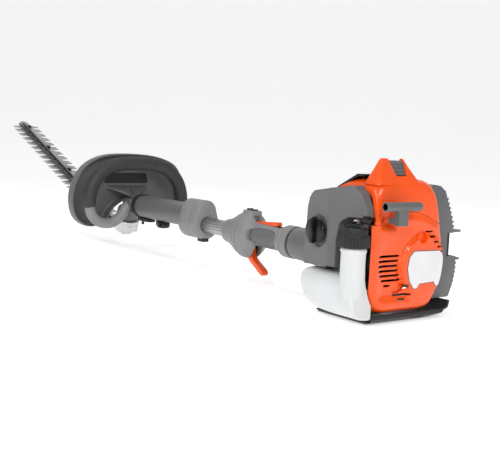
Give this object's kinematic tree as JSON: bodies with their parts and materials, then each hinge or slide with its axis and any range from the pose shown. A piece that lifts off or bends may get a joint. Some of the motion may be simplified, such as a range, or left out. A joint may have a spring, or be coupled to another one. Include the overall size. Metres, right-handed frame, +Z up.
{
  "type": "pole hedge trimmer",
  "caption": "Short-shaft petrol pole hedge trimmer: engine with pull start, throttle handle, loop handle with guard, gear case and double-sided reciprocating blades.",
  "frame": {"origin": "centre of the flat foot under the engine", "axes": "+X along the shaft towards the blades, +Y to the left side with the fuel cap and air filter, +Z up"},
  "size_m": [1.5195, 0.2765, 0.2723],
  "materials": {
    "orange_plastic": "glossy moulded",
    "grey_plastic": "satin moulded",
    "mid_grey_plastic": "satin moulded",
    "dark_plastic": "matt moulded",
    "black_plastic": "semi-gloss moulded",
    "soft_grip": "matt soft",
    "black_rubber": "matt",
    "tank_plastic": "translucent satin",
    "filter_media": "felt",
    "steel": "ground",
    "blade_steel": "ground and hardened",
    "cast_aluminium": "die cast",
    "tube_aluminium": "drawn and fluted",
    "ceramic": "glazed",
    "blackened_steel": "blackened"
  },
  "bodies": {
    "engine": {"starter_cover": "orange_plastic", "cylinder_cover": "orange_plastic", "cover_insert": "grey_plastic", "top_plate": "dark_plastic", "air_filter_cover": "grey_plastic", "air_filter": "filter_media", "fuel_tank": "tank_plastic", "base_guard": "dark_plastic", "muffler_guard": "grey_plastic", "crankcase": "cast_aluminium", "rear_bearing": "steel", "front_bearing": "steel", "cylinder": "cast_aluminium", "spark_plug": "ceramic", "recoil_spring": "steel", "ignition_coil": "black_plastic", "carburettor": "cast_aluminium", "muffler": "steel", "clutch_housing": "grey_plastic", "damper_ring": "black_rubber", "rear_ring": "mid_grey_plastic", "drive_tube": "tube_aluminium", "shaft_bush": "black_rubber", "bell_cover": "mid_grey_plastic", "handle_left": "mid_grey_plastic", "handle_right": "mid_grey_plastic", "trigger_pin": "steel"},
    "filter_knob": {"filter_knob": "black_plastic"},
    "fuel_cap": {"fuel_cap": "black_plastic"},
    "choke": {"choke_knob": "black_plastic"},
    "piston": {"piston": "cast_aluminium"},
    "crank": {"crankshaft": "steel", "flywheel": "cast_aluminium", "clutch_shoes": "steel"},
    "pulley": {"starter_pulley": "black_plastic"},
    "pull_handle": {"pull_handle": "grey_plastic"},
    "drive": {"clutch_drum": "steel", "drive_shaft": "steel", "bevel_pinion": "steel"},
    "trigger": {"throttle_trigger": "orange_plastic"},
    "lockout": {"lockout_lever": "orange_plastic"},
    "stop_switch": {"stop_switch": "grey_plastic"},
    "front": {"twist_collar": "mid_grey_plastic", "front_sleeve": "grey_plastic", "liner_tube": "tube_aluminium", "sleeve_band": "dark_plastic", "loop_clamp": "dark_plastic", "loop_tube": "mid_grey_plastic", "loop_grip": "soft_grip", "hand_guard": "grey_plastic", "gear_neck": "dark_plastic", "gear_case": "cast_aluminium", "guide_bar": "blade_steel", "bar_bolt_1": "blackened_steel", "bar_bolt_2": "blackened_steel", "bar_bolt_3": "blackened_steel"},
    "collar_latch": {"collar_latch": "grey_plastic"},
    "gear": {"crank_gear": "steel"},
    "upper_blade": {"upper_blade": "blade_steel"},
    "lower_blade": {"lower_blade": "blade_steel"}
  },
  "joints": [
    {"name": "filter_knob_turn", "type": "hinge", "parent": "engine", "child": "filter_knob", "pos_m": [0.03, 0.092, 0.1275], "axis": [0, 1, 0], "range_deg": [0, 90]},
    {"name": "fuel_cap_screw", "type": "hinge", "parent": "engine", "child": "fuel_cap", "pos_m": [-0.046, 0.086, 0.125], "axis": [0, 0, 1], "range_deg": [0, 360]},
    {"name": "choke_turn", "type": "hinge", "parent": "engine", "child": "choke", "pos_m": [-0.057, 0.075, 0.1515], "axis": [0, 1, 0], "range_deg": [0, 75]},
    {"name": "piston_stroke", "type": "slide", "parent": "engine", "child": "piston", "axis": [0, 0, 1], "range_m": [0, 0.024]},
    {"name": "crank_spin", "type": "hinge", "parent": "engine", "child": "crank", "pos_m": [0, 0, 0.086], "axis": [1, 0, 0], "continuous": true},
    {"name": "handle_pull", "type": "slide", "parent": "engine", "child": "pull_handle", "axis": [-1, 0, 0], "range_m": [0, 0.5], "stiffness_N_per_m": 12, "springref_m": -0.05},
    {"name": "pulley_spin", "type": "hinge", "parent": "engine", "child": "pulley", "pos_m": [-0.0515, 0, 0.086], "axis": [1, 0, 0], "range_deg": [0, 1275]},
    {"name": "drive_spin", "type": "hinge", "parent": "engine", "child": "drive", "pos_m": [0.1, 0, 0.086], "axis": [1, 0, 0], "continuous": true},
    {"name": "trigger_squeeze", "type": "hinge", "parent": "engine", "child": "trigger", "pos_m": [0.312, 0, 0.06], "axis": [0, 1, 0], "range_deg": [0, 18], "stiffness_Nm_per_rad": 0.3, "springref_deg": -11.46},
    {"name": "lockout_press", "type": "hinge", "parent": "engine", "child": "lockout", "pos_m": [0.298, 0, 0.105], "axis": [0, 1, 0], "range_deg": [-4, 0], "stiffness_Nm_per_rad": 0.5, "springref_deg": 8.59},
    {"name": "stop_switch_press", "type": "hinge", "parent": "engine", "child": "stop_switch", "pos_m": [0.315, 0, 0.126], "axis": [0, 1, 0], "range_deg": [-7, 0], "stiffness_Nm_per_rad": 0.1, "springref_deg": 11.46},
    {"name": "front_turn", "type": "hinge", "parent": "engine", "child": "front", "pos_m": [0.475, 0, 0.086], "axis": [1, 0, 0], "range_deg": [-90, 90]},
    {"name": "latch_press", "type": "slide", "parent": "front", "child": "collar_latch", "axis": [0, 0, 1], "range_m": [0, 0.003], "stiffness_N_per_m": 400, "springref_m": -0.002},
    {"name": "gear_spin", "type": "hinge", "parent": "front", "child": "gear", "pos_m": [0.8, 0, 0.0357], "axis": [-0.3551, 0, 0.9348], "continuous": true},
    {"name": "upper_blade_slide", "type": "slide", "parent": "front", "child": "upper_blade", "axis": [0.9348, 0, 0.3551], "range_m": [-0.009, 0.009]},
    {"name": "lower_blade_slide", "type": "slide", "parent": "front", "child": "lower_blade", "axis": [0.9348, 0, 0.3551], "range_m": [-0.009, 0.009]}
  ],
  "couplings": [
    {"joint": "pulley_spin", "follows": "handle_pull", "rad_per_m": 44.4},
    {"joint": "gear_spin", "follows": "drive_spin", "ratio": -0.41176},
    {"joint": "lower_blade_slide", "follows": "upper_blade_slide", "ratio": -1}
  ]
}
